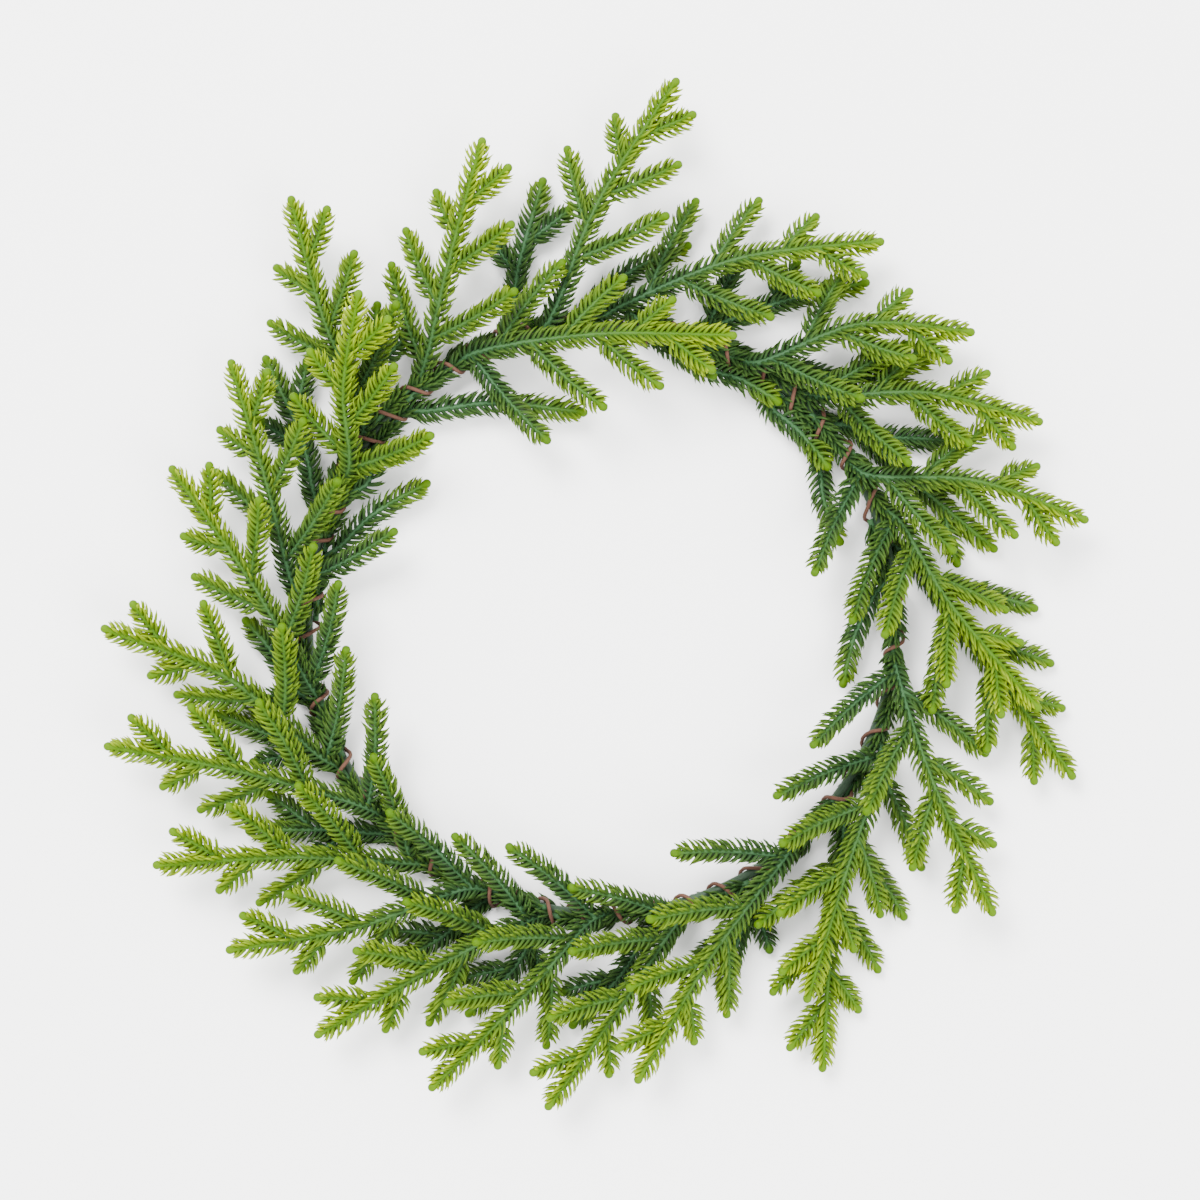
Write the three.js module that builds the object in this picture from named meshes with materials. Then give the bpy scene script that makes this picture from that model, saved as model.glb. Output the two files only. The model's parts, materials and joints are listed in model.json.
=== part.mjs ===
// An evergreen wreath that lies flat: a wire hoop, the leafy sprays laid round it, and the
// paper-covered wire that binds their stems to it. Millimetres, +Z up. It is laid out round the
// ring's centre, and the finished wreath is moved so that its outline is centred on the origin.
import * as THREE from "three";

const FULL_TURN = Math.PI * 2;

// The ring.
const RING_RADIUS = 178;
const HOOP_WIRE = 6;
const HOOP_SECTIONS = 56;
const HOOP_SIDES = 6;

// The binding: its turns are six-sided, and the lower flat of each rests on the surface.
const BINDING_REACH = 10;
const BINDING_DEPTH = 1.9;
const BINDING_WIDTH = 2.4;
const BINDING_PITCH = 23;
const BINDING_STEP = Math.PI / 3;
const BINDING_ENDS_GAP = 14;
const SAME_WAY_OUT = 9;
const HOOP_HEIGHT = BINDING_REACH * Math.cos(BINDING_STEP / 2);

// The stems: each root is bound along the hoop, then leaves it clockwise.
const ROOT_LENGTH = 38;
const ROOT_SEAT = 4.95;
const EXIT_LENGTH = 17;
const EXIT_RUN = 11;
const EXIT_REACH = 14;
const ROOT_POINTS = [1, 0.66, 0.33, 0];
const CORE_RADIUS = 1.6;
const PATH_STEP = 4;

// Where a stem is bound and where it leaves the binding (degrees round the hoop, 0 outwards, 90 on
// top), its heights at the middle and the tip, and how far it is rolled, right side up.
const SEATS = {
  upper: { around: 38, leaves: 42, middle: 29, tip: 33, roll: 24 },
  crown: { around: 98, leaves: 80, middle: 32, tip: 35, roll: 24 },
  crest: { around: 98, leaves: 90, middle: 44, tip: 52, roll: 12 },
  lower: { around: -42, leaves: -22, middle: 9, tip: 8, roll: 8 },
  deep: { around: -92, leaves: -26, middle: 9, tip: 8, roll: 8 },
  under: { around: -42, leaves: -20, middle: 12, tip: 15, roll: 16 },
  inner: { around: 165, leaves: 165, middle: 13, tip: 14, roll: 6 },
};

// The mould that every spray follows: side shoots stand by turns right and left of the stem. Lift is
// how much of the climb of the stem and its roll a shoot keeps.
const SIDE = {
  right: {
    behind: [42, 84, 126, 164],
    length: [38, 54, 67, 75],
    angle: [38, 42, 47, 60],
    lift: [1, 1, 1, 0.5],
    sign: 1,
  },
  left: {
    behind: [62, 105, 147],
    length: [34, 54, 68],
    angle: [42, 40, 42],
    lift: [1, 1, 1],
    sign: -1,
  },
};
const SIDE_BEND = 7;
const SIDE_ROOM = 5;
const SIDE_LIMIT = EXIT_LENGTH * 0.7;

// Needles and buds. Sweep is how far a needle leans away from its shoot, in degrees: for the faces
// of a whorl that start near its foot, for the others, and, tried in turn, where one is in the way.
const RING_TURN = 60;
const WHORL_LENGTH = 4;
const WHORL_SPACING = 21;
const NEEDLE_LENGTH = 8.6;
const NEEDLE_SWEEP = { near: 33, wide: 47, bent: [40, 26, 56] };
const NEEDLE_THICKNESS = 1.5;
const BUD_RADIUS = 3.1;
const BUD_LENGTH = 7;
const BUD_SHOULDER = 2.8;
const TIP_REACH = 12;
const TIP_STRETCHES = 2;

// Clearances.
const GAP = 0.35;
const CROSSING = 8;
const FLOOR_CLEAR = 6.2;
const RING_CLEAR = 13;
const SETTLE_ROUNDS = 60;
const SETTLE_STEP = 0.5;
const SETTLE_BESIDE = 0.2;
const RESEAT_POINTS = 5;

// The sprays in plan: name, seat, where the stem leaves the ring, its middle and its tip, then the
// number of side shoots on the right and on the left, and for a few the degrees by which the right
// shoot nearest the ring is turned away from the stem.
const SPRAYS = [
  ["low_spray_top_left", "lower", [-63, 171], [-51, 211], [-35, 269], 1, 1],
  ["low_sprig_top", "lower", [-16, 177], [16, 210], [55, 228], 0, 0],
  ["low_spray_top_right", "lower", [53, 169], [107, 192], [163, 205], 0, 2],
  ["low_spray_right_1", "lower", [101, 153], [156, 145], [206, 163], 1, 1],
  ["low_spray_right_2", "lower", [137, 120], [188, 84], [240, 41], 1, 2],
  ["low_spray_right_3", "under", [169, 45], [230, -21], [286, -97], 3, 3],
  ["low_spray_bottom_right", "under", [146, -108], [139, -186], [133, -274], 3, 3],
  ["low_spray_bottom_1", "lower", [98, -153], [82, -195], [72, -230], 1, 1],
  ["low_spray_bottom_2", "lower", [38, -179], [11, -215], [-20, -248], 1, 0],
  ["low_spray_bottom_3", "lower", [-25, -175], [-52, -209], [-83, -241], 1, 1],
  ["low_spray_bottom_4", "deep", [-61, -165], [-97, -192], [-134, -210], 1, 1],
  ["low_spray_left_1", "lower", [-121, -126], [-169, -127], [-217, -128], 1, 1],
  ["low_spray_left_2", "lower", [-154, -87], [-193, -73], [-239, -55], 1, 1],
  ["low_spray_left_3", "lower", [-168, -49], [-200, -19], [-218, 2], 0, 1],
  ["low_spray_left_4", "lower", [-163, 60], [-181, 108], [-205, 161], 1, 1],
  ["low_spray_left_5", "lower", [-142, 108], [-139, 153], [-136, 194], 1, 1],
  ["inner_sprig_top", "inner", [-125, 132], [-67, 131], [-8, 125], 0, 0],
  ["inner_sprig_left_1", "inner", [-160, 78], [-135, 97], [-107, 106], 0, 0],
  ["inner_sprig_left_2", "inner", [-174, 37], [-138, 64], [-103, 84], 0, 0],
  ["inner_sprig_right_1", "inner", [54, 170], [84, 145], [109, 130], 0, 0],
  ["inner_sprig_right_2", "inner", [98, 142], [118, 115], [138, 90], 0, 0],
  ["inner_sprig_right_3", "inner", [128, 108], [134, 72], [145, 44], 0, 0],
  ["inner_sprig_right_4", "inner", [164, 24], [152, -11], [145, -42], 0, 0],
  ["spray_top_1", "upper", [-110, 142], [-93, 209], [-71, 290], 3, 3],
  ["spray_top_2", "crown", [-45, 179], [-3, 248], [46, 325], 3, 2],
  ["spray_top_3", "upper", [-1, 181], [80, 216], [170, 227], 4, 3],
  ["spray_top_4", "crown", [86, 165], [155, 177], [224, 172], 3, 2],
  ["spray_right_1", "upper", [128, 147], [194, 136], [265, 118], 3, 3],
  ["spray_right_2", "crown", [160, 102], [224, 83], [292, 59], 4, 2],
  ["spray_right_3", "upper", [170, 69], [206, 13], [263, -55], 4, 2],
  ["spray_right_4", "crown", [172, -21], [197, -95], [235, -178], 4, 3, -8],
  ["spray_right_5", "upper", [166, -71], [148, -145], [122, -230], 4, 3],
  ["spray_bottom_1", "crown", [119, -138], [64, -203], [20, -278], 4, 2, -11],
  ["spray_bottom_2", "upper", [53, -171], [14, -227], [-34, -294], 4, 2],
  ["spray_bottom_3", "crown", [5, -179], [-45, -223], [-104, -282], 4, 2],
  ["spray_bottom_4", "upper", [-34, -175], [-106, -211], [-173, -250], 4, 2],
  ["spray_bottom_5", "crown", [-69, -162], [-148, -184], [-226, -198], 4, 2, -18],
  ["spray_bottom_6", "upper", [-102, -143], [-187, -142], [-270, -147], 4, 2],
  ["spray_left_1", "crown", [-128, -117], [-214, -91], [-299, -75], 4, 2],
  ["spray_left_2", "upper", [-153, -87], [-224, -35], [-301, -4], 4, 2],
  ["spray_left_3", "crown", [-164, -46], [-208, 20], [-259, 93], 4, 2, -24],
  ["spray_left_4", "upper", [-170, 11], [-200, 79], [-223, 157], 4, 2, 17],
  ["spray_left_5", "upper", [-151, 114], [-166, 179], [-187, 255], 3, 2],
  ["top_spray_left", "crest", [-160, 85], [-154, 138], [-144, 197], 3, 2],
  ["top_spray_top", "crest", [-91, 161], [-7, 170], [81, 169], 4, 3],
];

const UP = new THREE.Vector3(0, 0, 1);
const radians = THREE.MathUtils.degToRad;

// A point beside the hoop: an angle round the ring, a distance from the wire's centre line, and an
// angle round the wire.
function besideHoop(ringAngle, reach, around) {
  const radius = RING_RADIUS + reach * Math.cos(around);
  return new THREE.Vector3(
    radius * Math.cos(ringAngle),
    radius * Math.sin(ringAngle),
    HOOP_HEIGHT + reach * Math.sin(around),
  );
}

// Points along a curve, PATH_STEP apart.
function evenPoints(curve) {
  const steps = Math.max(3, Math.round(curve.getLength() / PATH_STEP));
  return curve.getSpacedPoints(steps);
}

function pathLength(points) {
  return points.slice(1).reduce((sum, point, i) => sum + point.distanceTo(points[i]), 0);
}

// The place, the direction and the rolled frame at a distance along a shoot.
function frameAt(shoot, distance) {
  let i = 0;
  let left = distance;
  let step = shoot.points[1].distanceTo(shoot.points[0]);
  while (left > step && i < shoot.points.length - 2) {
    left -= step;
    i += 1;
    step = shoot.points[i + 1].distanceTo(shoot.points[i]);
  }
  const share = left / step;
  const place = shoot.points[i].clone().lerp(shoot.points[i + 1], share);
  const before = shoot.points[Math.max(0, share < 0.5 ? i - 1 : i)];
  const after = shoot.points[Math.min(shoot.points.length - 1, share < 0.5 ? i + 1 : i + 2)];
  const along = after.clone().sub(before).normalize();
  const flatRight = along.clone().cross(UP).normalize();
  const flatUp = flatRight.clone().cross(along);
  const right = flatRight
    .clone()
    .multiplyScalar(Math.cos(shoot.roll))
    .addScaledVector(flatUp, Math.sin(shoot.roll));
  const up = right.clone().cross(along);
  return { place, along, right, up };
}

// The main stem: its root follows the hoop, then it runs through its middle to its tip.
function makeStem(spray) {
  const seat = SEATS[spray.seat];
  const around = radians(seat.around);
  const exitAngle = Math.atan2(spray.exit[1], spray.exit[0]);
  const rootTurn = ROOT_LENGTH / RING_RADIUS;
  const curve = new THREE.CatmullRomCurve3([
    ...ROOT_POINTS.map((share) => besideHoop(exitAngle + rootTurn * share, ROOT_SEAT, around)),
    besideHoop(exitAngle - EXIT_RUN / RING_RADIUS, EXIT_REACH, radians(seat.leaves)),
    new THREE.Vector3(...spray.middle, seat.middle),
    new THREE.Vector3(...spray.tip, seat.tip),
  ]);
  const points = evenPoints(curve);
  return {
    spray: spray.name,
    points,
    length: pathLength(points),
    roll: radians(seat.roll),
    bare: ROOT_LENGTH + EXIT_LENGTH,
    sides: [],
  };
}

// A side shoot: it leaves the stem at an angle and bends a little towards the stem's way.
function makeSide(stem, side, index, turn) {
  const free = stem.length - ROOT_LENGTH - SIDE_LIMIT;
  const behind = Math.min(side.behind[index], free);
  const at = stem.length - behind;
  const { place, along, right } = frameAt(stem, at);
  const length = side.length[index];
  const angle = side.angle[index] + turn;
  const heading = (degrees) =>
    along
      .clone()
      .multiplyScalar(Math.cos(radians(degrees)))
      .addScaledVector(right, side.sign * Math.sin(radians(degrees)))
      .multiply(new THREE.Vector3(1, 1, side.lift[index]))
      .normalize();
  const bend = place.clone().addScaledVector(heading(angle + SIDE_BEND), length / 2);
  const tip = bend.clone().addScaledVector(heading(angle - SIDE_BEND), length / 2);
  const points = evenPoints(new THREE.QuadraticBezierCurve3(place, bend, tip));
  return {
    spray: stem.spray,
    points,
    length: pathLength(points),
    roll: stem.roll,
    bare: SIDE_ROOM,
    at,
    parent: stem,
    sign: side.sign,
  };
}

// How far the point of a shoot must rise to clear the bound ring.
function ringLift(point) {
  const aside = Math.hypot(point.x, point.y) - RING_RADIUS;
  if (Math.abs(aside) >= RING_CLEAR) return 0;
  return Math.max(0, HOOP_HEIGHT + Math.sqrt(RING_CLEAR ** 2 - aside ** 2) - point.z);
}

// Every point of every shoot, with the rise and the fall that its neighbours ask of it.
function spotsOf(shoots) {
  return shoots.flatMap((shoot) => {
    shoot.spots = shoot.points.map((point, i) => {
      const distance = (i * shoot.length) / (shoot.points.length - 1);
      return { shoot, point, free: distance > shoot.bare, rise: 0, fall: 0 };
    });
    return shoot.spots;
  });
}

// The pairs of spots of different sprays that lie over one another, the upper one first.
function crossingPairs(spots) {
  const pairs = [];
  spots.forEach((a, i) => {
    for (const b of spots.slice(i + 1)) {
      if (a.shoot.spray === b.shoot.spray || (!a.free && !b.free)) continue;
      const aside = Math.hypot(a.point.x - b.point.x, a.point.y - b.point.y);
      if (aside >= CROSSING) continue;
      const apart = Math.sqrt(CROSSING ** 2 - aside ** 2);
      const [upper, lower] = a.point.z >= b.point.z ? [a, b] : [b, a];
      pairs.push({ upper, lower, apart });
    }
  });
  return pairs;
}

// Raises and lowers crossing shoots of different sprays until they lie CROSSING apart, clear of the
// bound ring and of the surface.
function settle(shoots) {
  const pairs = crossingPairs(spotsOf(shoots));
  for (let round = 0; round < SETTLE_ROUNDS; round += 1) {
    for (const { upper, lower, apart } of pairs) {
      const short = apart - (upper.point.z - lower.point.z);
      if (short <= 0) continue;
      const share = upper.free && lower.free ? short / 2 : short;
      upper.rise = Math.max(upper.rise, share);
      lower.fall = Math.max(lower.fall, share);
    }
    for (const shoot of shoots) {
      const pushes = shoot.spots.map((spot) => spot.rise - spot.fall);
      const last = pushes.length - 1;
      shoot.spots.forEach((spot, i) => {
        const beside = pushes[Math.max(0, i - 1)] + pushes[Math.min(last, i + 1)];
        if (spot.free) {
          spot.point.z += SETTLE_STEP * pushes[i] + SETTLE_BESIDE * beside;
          spot.point.z += SETTLE_STEP * ringLift(spot.point);
          spot.point.z = Math.max(spot.point.z, FLOOR_CLEAR);
        }
        spot.rise = 0;
        spot.fall = 0;
      });
    }
    shoots.forEach(reseat);
  }
}

// Keeps a side shoot's foot on its stem after the stem has moved, easing the shift out along it.
function reseat(shoot) {
  if (!shoot.parent) return;
  const foot = frameAt(shoot.parent, shoot.at).place;
  const shift = foot.clone().sub(shoot.points[0]);
  const reach = Math.min(RESEAT_POINTS, shoot.points.length - 1);
  for (let i = 0; i < reach; i += 1) shoot.points[i].addScaledVector(shift, 1 - i / reach);
}

// The shortest distance between segments p-q and r-s.
function segmentGap(p, q, r, s) {
  const u = q.clone().sub(p);
  const v = s.clone().sub(r);
  const w = p.clone().sub(r);
  const a = u.dot(u);
  const b = u.dot(v);
  const c = v.dot(v);
  const d = u.dot(w);
  const e = v.dot(w);
  const square = a * c - b * b;
  let m = square > 1e-9 ? THREE.MathUtils.clamp((b * e - c * d) / square, 0, 1) : 0;
  const n = THREE.MathUtils.clamp((b * m + e) / c, 0, 1);
  m = THREE.MathUtils.clamp((b * n - d) / a, 0, 1);
  return w.addScaledVector(u, m).addScaledVector(v, -n).length();
}

// Solid stretches that a needle has to stay clear of: each has two ends and a radius.
const stretches = [];

function addStretch(from, to, radius, owner) {
  const middle = from.clone().lerp(to, 0.5);
  stretches.push({ from, to, radius, owner, middle, half: from.distanceTo(to) / 2 });
}

function isClear(from, to, owner) {
  const middle = from.clone().lerp(to, 0.5);
  const half = from.distanceTo(to) / 2;
  const needleRadius = NEEDLE_THICKNESS / 2;
  if (to.z < GAP) return false;
  return stretches.every((other) => {
    if (other.owner === owner) return true;
    const room = other.radius + needleRadius + GAP;
    if (other.middle.distanceTo(middle) > other.half + half + room) return true;
    return segmentGap(from, to, other.from, other.to) > room;
  });
}

// One closed surface, grown ring by ring: a ring has three corners, turned by RING_TURN each time.
class Skin {
  constructor() {
    this.corners = [];
    this.faces = [];
  }

  corner(point) {
    this.corners.push(point);
    return this.corners.length - 1;
  }

  // A ring across a shoot.
  ring(frame, radius, odd) {
    const indices = [0, 1, 2].map((k) => {
      const angle = radians(2 * RING_TURN * k + (odd ? RING_TURN : 0));
      const point = frame.place
        .clone()
        .addScaledVector(frame.right, radius * Math.cos(angle))
        .addScaledVector(frame.up, radius * Math.sin(angle));
      return this.corner(point);
    });
    return { indices, odd };
  }

  // The six faces between two rings, each with the way it looks, in degrees round the shoot.
  band(first, second) {
    const shift = first.odd ? 1 : 0;
    const a = (k) => first.indices[k % 3];
    const b = (k) => second.indices[(k + shift) % 3];
    const turns = first.odd ? 1 : 0;
    const faces = [];
    for (let k = 0; k < 3; k += 1) {
      const near = (RING_TURN * (2 * k + turns + 1)) % 360;
      const far = (RING_TURN * (2 * k + turns + 2)) % 360;
      faces.push({ corners: [a(k), b(k), a(k + 1)], looks: near });
      faces.push({ corners: [a(k + 1), b(k), b(k + 1)], looks: far });
    }
    return faces;
  }

  middleOf(face) {
    return face.corners
      .reduce((sum, index) => sum.add(this.corners[index]), new THREE.Vector3())
      .divideScalar(3);
  }

  raise([a, b, c], peak) {
    const top = this.corner(peak);
    this.faces.push([a, b, top], [b, c, top], [c, a, top]);
  }

  geometry() {
    const positions = this.faces.flatMap((face) => face.flatMap((i) => this.corners[i].toArray()));
    const made = new THREE.BufferGeometry();
    made.setAttribute("position", new THREE.Float32BufferAttribute(positions, 3));
    made.computeVertexNormals();
    return made;
  }
}

// Where the whorls of a shoot stand: on a stem at its side shoots, and evenly up to near the tip.
function whorlPlaces(shoot) {
  const last = shoot.length - TIP_REACH;
  const fixed = shoot.sides.map((side) => side.at).sort((p, q) => p - q);
  const start = fixed.length ? fixed[fixed.length - 1] : shoot.bare;
  const count = Math.max(1, Math.round((last - start) / WHORL_SPACING));
  const beyond = Array.from({ length: count }, (_, k) => last - ((last - start) * k) / count);
  return [...fixed, ...beyond.reverse()];
}

// Picks out the corners of a face as the first ring of the side shoot that grows from it.
function footRing(skin, face, frame) {
  const turned = face.corners.map((index) => {
    const arm = skin.corners[index].clone().sub(frame.place);
    const angle = THREE.MathUtils.radToDeg(Math.atan2(arm.dot(frame.up), arm.dot(frame.right)));
    return { index, angle: (angle + 360) % 360 };
  });
  const centre = turned.reduce((best, corner) => {
    const off = Math.min(corner.angle, 360 - corner.angle);
    return off < best.off ? { corner, off } : best;
  }, { corner: turned[0], off: 360 });
  const odd = centre.off > RING_TURN / 2;
  turned.sort((p, q) => p.angle - q.angle);
  if (!odd && turned[0] !== centre.corner) turned.unshift(turned.pop());
  return { indices: turned.map((corner) => corner.index), odd };
}

// Grows a shoot from its first ring, with its needles, its side shoots and its bud.
function growShoot(skin, shoot, firstRing) {
  const places = whorlPlaces(shoot);
  let ring = firstRing;
  const reachRing = (distance, radius) => {
    const next = skin.ring(frameAt(shoot, distance), radius, !ring.odd);
    const faces = skin.band(ring, next);
    ring = next;
    return faces;
  };
  const bare = (faces) => skin.faces.push(...faces.map((face) => face.corners));
  if (!shoot.parent) {
    bare(reachRing(ROOT_LENGTH / 2, CORE_RADIUS));
    bare(reachRing(ROOT_LENGTH, CORE_RADIUS));
  }
  places.forEach((place) => {
    bare(reachRing(place - WHORL_LENGTH / 2, CORE_RADIUS));
    const side = shoot.sides.find((one) => one.at === place);
    const frame = frameAt(shoot, place);
    for (const face of reachRing(place + WHORL_LENGTH / 2, CORE_RADIUS)) {
      if (side && face.looks === (side.sign > 0 ? 0 : 180)) growSide(skin, side, face);
      else growNeedle(skin, shoot, face, frame);
    }
  });
  bare(reachRing(shoot.length - BUD_LENGTH, CORE_RADIUS));
  bare(reachRing(shoot.length - BUD_SHOULDER, BUD_RADIUS));
  skin.raise(ring.indices.slice().reverse(), shoot.points[shoot.points.length - 1]);
}

function growSide(skin, side, face) {
  const start = frameAt(side, SIDE_ROOM);
  growShoot(skin, side, footRing(skin, face, { ...start, place: skin.middleOf(face) }));
}

// A needle is a face raised to a point, bent closer to its shoot where something is in its way.
function growNeedle(skin, shoot, face, frame) {
  const foot = skin.middleOf(face);
  const looks = radians(face.looks);
  const out = frame.right
    .clone()
    .multiplyScalar(Math.cos(looks))
    .addScaledVector(frame.up, Math.sin(looks));
  const first = face.looks % (2 * RING_TURN) === 0 ? NEEDLE_SWEEP.near : NEEDLE_SWEEP.wide;
  for (const sweep of [first, ...NEEDLE_SWEEP.bent]) {
    const peak = foot
      .clone()
      .addScaledVector(frame.along, NEEDLE_LENGTH * Math.cos(radians(sweep)))
      .addScaledVector(out, NEEDLE_LENGTH * Math.sin(radians(sweep)));
    if (!isClear(foot, peak, shoot)) continue;
    skin.raise(face.corners, peak);
    addStretch(foot, peak, NEEDLE_THICKNESS / 3, shoot);
    return;
  }
  skin.faces.push(face.corners);
}

// The solid of one spray.
function sprayGeometry(stem) {
  const skin = new Skin();
  const root = skin.ring(frameAt(stem, 0), CORE_RADIUS, false);
  skin.faces.push(root.indices.slice());
  growShoot(skin, stem, root);
  return skin.geometry();
}

// Where a stem comes out through the binding: how far clockwise round the ring, in radians from the
// top, and on which side of the hoop.
function wayOut(stem) {
  const place = stem.points.find((point) => {
    const aside = Math.hypot(point.x, point.y) - RING_RADIUS;
    return Math.hypot(aside, point.z - HOOP_HEIGHT) > BINDING_REACH - BINDING_DEPTH / 2;
  });
  const aside = Math.hypot(place.x, place.y) - RING_RADIUS;
  return {
    turned: (FULL_TURN + FULL_TURN / 4 - Math.atan2(place.y, place.x)) % FULL_TURN,
    around: Math.atan2(place.z - HOOP_HEIGHT, aside),
  };
}

// The way of the binding wire: where stems come out, the wire is on the other side of the hoop.
function bindingTurns(stems) {
  const groups = [];
  for (const way of stems.map(wayOut).sort((p, q) => p.turned - q.turned)) {
    const last = groups[groups.length - 1];
    if (last && (way.turned - last[0].turned) * RING_RADIUS < SAME_WAY_OUT) last.push(way);
    else groups.push([way]);
  }
  const mean = (group, key) => group.reduce((sum, way) => sum + way[key], 0) / group.length;
  const pins = [];
  for (const group of groups) {
    const turned = mean(group, "turned");
    const across = mean(group, "around") + Math.PI;
    if (!pins.length) {
      pins.push({ turned, phase: across });
      continue;
    }
    const last = pins[pins.length - 1];
    const part = (((across - last.phase) % FULL_TURN) + FULL_TURN) % FULL_TURN;
    const run = (turned - last.turned) * RING_RADIUS;
    const turns = Math.max(0, Math.round(run / BINDING_PITCH - part / FULL_TURN));
    pins.push({ turned, phase: last.phase + part + turns * FULL_TURN });
  }
  const last = pins[pins.length - 1];
  const end = pins[0].turned + FULL_TURN - BINDING_ENDS_GAP / RING_RADIUS;
  const run = (end - last.turned) * RING_RADIUS;
  pins.push({ turned: end, phase: last.phase + (run * FULL_TURN) / BINDING_PITCH });
  return pins;
}

function bindingGeometry(stems) {
  const pins = bindingTurns(stems);
  const steps = [];
  const firstStep = Math.ceil(pins[0].phase / BINDING_STEP);
  const lastStep = Math.floor(pins[pins.length - 1].phase / BINDING_STEP);
  let pin = 0;
  for (let step = firstStep; step <= lastStep; step += 1) {
    const phase = step * BINDING_STEP;
    while (pins[pin + 1].phase < phase) pin += 1;
    const share = (phase - pins[pin].phase) / (pins[pin + 1].phase - pins[pin].phase);
    const turned = THREE.MathUtils.lerp(pins[pin].turned, pins[pin + 1].turned, share);
    steps.push({ ringAngle: FULL_TURN / 4 - turned, phase });
  }
  const half = BINDING_WIDTH / 2 / RING_RADIUS;
  const skin = new Skin();
  const rings = steps.map(({ ringAngle, phase }) =>
    [
      besideHoop(ringAngle - half, BINDING_REACH, phase),
      besideHoop(ringAngle + half, BINDING_REACH, phase),
      besideHoop(ringAngle, BINDING_REACH - BINDING_DEPTH, phase),
    ].map((point) => skin.corner(point)),
  );
  skin.faces.push(rings[0].slice().reverse());
  rings.slice(1).forEach((ring, i) => {
    for (let k = 0; k < 3; k += 1) {
      const next = (k + 1) % 3;
      skin.faces.push([rings[i][k], rings[i][next], ring[next]], [rings[i][k], ring[next], ring[k]]);
    }
  });
  skin.faces.push(rings[rings.length - 1].slice());
  const middles = steps.map(({ ringAngle, phase }) =>
    besideHoop(ringAngle, BINDING_REACH - BINDING_DEPTH / 2, phase),
  );
  middles.slice(1).forEach((middle, i) => addStretch(middles[i], middle, BINDING_WIDTH / 2, "binding"));
  return skin.geometry();
}

function hoopGeometry() {
  const torus = new THREE.TorusGeometry(RING_RADIUS, HOOP_WIRE / 2, HOOP_SIDES, HOOP_SECTIONS);
  return torus.translate(0, 0, HOOP_HEIGHT);
}

const hoopMaterial = new THREE.MeshStandardMaterial({ color: 0x3c4a38, roughness: 0.5, metalness: 0.6 });
const bindingMaterial = new THREE.MeshStandardMaterial({ color: 0x7b4a33, roughness: 0.9, metalness: 0 });
const leafMaterial = new THREE.MeshStandardMaterial({ color: 0x4c8a3a, roughness: 0.6, metalness: 0 });

function makeMesh(name, geometry, material) {
  const mesh = new THREE.Mesh(geometry, material);
  mesh.name = name;
  return mesh;
}

const stems = SPRAYS.map(([name, seat, exit, middle, tip, right, left, turn = 0]) => {
  const stem = makeStem({ name, seat, exit, middle, tip });
  for (let k = 0; k < right; k += 1) {
    stem.sides.push(makeSide(stem, SIDE.right, k, k === right - 1 ? turn : 0));
  }
  for (let k = 0; k < left; k += 1) stem.sides.push(makeSide(stem, SIDE.left, k, 0));
  return stem;
});
const shoots = stems.flatMap((stem) => [stem, ...stem.sides]);
shoots.forEach((shoot) => {
  shoot.sides ??= [];
});
settle(shoots);
shoots.forEach((shoot) => {
  shoot.length = pathLength(shoot.points);
  for (let i = 1; i < shoot.points.length; i += 1) {
    const atTip = i >= shoot.points.length - TIP_STRETCHES;
    if (shoot.parent && i === 1) continue;
    addStretch(shoot.points[i - 1], shoot.points[i], atTip ? BUD_RADIUS : CORE_RADIUS, shoot);
  }
});

const wreath = new THREE.Group();
wreath.add(makeMesh("wire_hoop", hoopGeometry(), hoopMaterial));
wreath.add(makeMesh("binding_wire", bindingGeometry(stems), bindingMaterial));
stems.forEach((stem) => wreath.add(makeMesh(stem.spray, sprayGeometry(stem), leafMaterial.clone())));

const middle = new THREE.Box3().setFromObject(wreath).getCenter(new THREE.Vector3());
wreath.position.set(-middle.x, -middle.y, 0);

export default wreath;
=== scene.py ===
import json
import math

import bpy
import numpy as np
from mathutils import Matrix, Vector
from mathutils.kdtree import KDTree

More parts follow.
